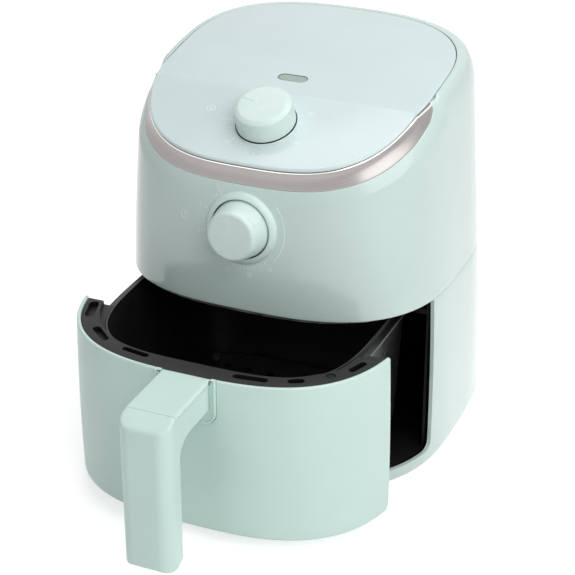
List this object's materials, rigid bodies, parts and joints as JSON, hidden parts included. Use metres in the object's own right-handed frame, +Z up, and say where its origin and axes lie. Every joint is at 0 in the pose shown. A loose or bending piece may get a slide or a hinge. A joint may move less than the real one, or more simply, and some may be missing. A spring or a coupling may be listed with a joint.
{
  "type": "deep fryer",
  "caption": "Compact hot-air fryer with a pull-out drawer and pan, a timer dial on the front, a temperature dial on the sloped lid and a metal band below it.",
  "frame": {"origin": "on the surface it stands on, under the middle of the whole part with its drawer open", "axes": "+Z up, -Y towards the handle at the front, +X to the right seen from the front"},
  "size_m": [0.2252, 0.389, 0.2744],
  "materials": {
    "housing_mint": "glossy pale mint moulded plastic",
    "drawer_mint": "satin pale mint moulded plastic",
    "knob_mint": "satin pale mint moulded plastic",
    "band_steel": "warm grey metal brushed along its length",
    "rim_plastic": "fine-grained dark heat-proof plastic",
    "coated_metal": "dark non-stick coating with a soft sheen",
    "foot_rubber": "dull black rubber",
    "silicone": "soft dark silicone",
    "wire_cover": "soft red insulation",
    "sheet_steel": "plain zinc-plated sheet",
    "wire_steel": "bright drawn wire",
    "bright_steel": "bright turned steel",
    "element_sheath": "heat-stained steel tube",
    "ceramic": "dull white ceramic",
    "winding": "copper windings",
    "fan_metal": "plain pressed aluminium",
    "works_plastic": "dark moulded plastic",
    "plunger_plastic": "white acetal",
    "lens": "clear lens",
    "lamp_glass": "amber and green neon lamps"
  },
  "bodies": {
    "housing": {"lower_housing": "housing_mint", "upper_housing": "housing_mint", "base_plate": "rim_plastic", "feet": "foot_rubber", "base_screws": "bright_steel", "lid": "housing_mint", "trim_band": "band_steel", "indicator_lens": "lens", "pilot_lamps": "lamp_glass", "timer_bezel": "housing_mint", "temperature_ring": "housing_mint", "bay_liner": "rim_plastic", "drawer_rails": "rim_plastic", "bay_ceiling": "sheet_steel", "heat_reflector": "sheet_steel", "element_guard": "wire_steel", "heating_element": "element_sheath", "element_clips": "ceramic", "motor_plate": "sheet_steel", "motor_bracket": "sheet_steel", "motor_case": "sheet_steel", "motor_stator": "winding", "motor_bearings": "bright_steel", "timer_unit": "works_plastic", "timer_bell": "bright_steel", "thermostat": "works_plastic", "thermal_fuse": "ceramic", "switch_case": "rim_plastic", "terminal_block": "ceramic", "wiring": "wire_cover", "outlet_grille": "rim_plastic", "cord_gland": "rim_plastic"},
    "fan": {"motor_shaft": "bright_steel", "motor_rotor": "bright_steel", "hot_air_fan": "fan_metal", "cooling_fan": "fan_metal", "fan_nut": "bright_steel"},
    "timer_dial": {"timer_knob": "knob_mint", "timer_shaft": "bright_steel"},
    "temperature_dial": {"temperature_knob": "knob_mint", "thermostat_shaft": "bright_steel"},
    "drawer_switch": {"switch_plunger": "plunger_plastic"},
    "drawer": {"drawer_front": "drawer_mint", "drawer_rim": "rim_plastic", "pan": "coated_metal", "pan_catch": "rim_plastic", "handle_plate": "drawer_mint", "handle_grip": "drawer_mint", "handle_cover": "drawer_mint", "handle_screws": "bright_steel"},
    "tray": {"crisper_tray": "coated_metal", "tray_loop": "wire_steel", "tray_bumpers": "silicone"}
  },
  "joints": [
    {"name": "drawer_slide", "type": "slide", "parent": "housing", "child": "drawer", "axis": [0, -1, 0], "range_m": [-0.082, 0.115]},
    {"name": "tray_lift", "type": "slide", "parent": "drawer", "child": "tray", "axis": [0, 0, 1], "range_m": [0, 0.076]},
    {"name": "timer_turn", "type": "hinge", "parent": "housing", "child": "timer_dial", "pos_m": [0, -0.04978, 0.187], "axis": [0, 0.9977, -0.068], "range_deg": [0, 300]},
    {"name": "temperature_turn", "type": "hinge", "parent": "housing", "child": "temperature_dial", "pos_m": [0, -0.01034, 0.24443], "axis": [0, 0.3955, -0.9184], "range_deg": [0, 270]},
    {"name": "fan_spin", "type": "hinge", "parent": "housing", "child": "fan", "pos_m": [0, 0.05452, 0.17], "axis": [0, 0, 1], "continuous": true},
    {"name": "switch_press", "type": "slide", "parent": "housing", "child": "drawer_switch", "axis": [0, 1, 0], "range_m": [0, 0.003], "stiffness_N_per_m": 200, "springref_m": -0.002}
  ]
}
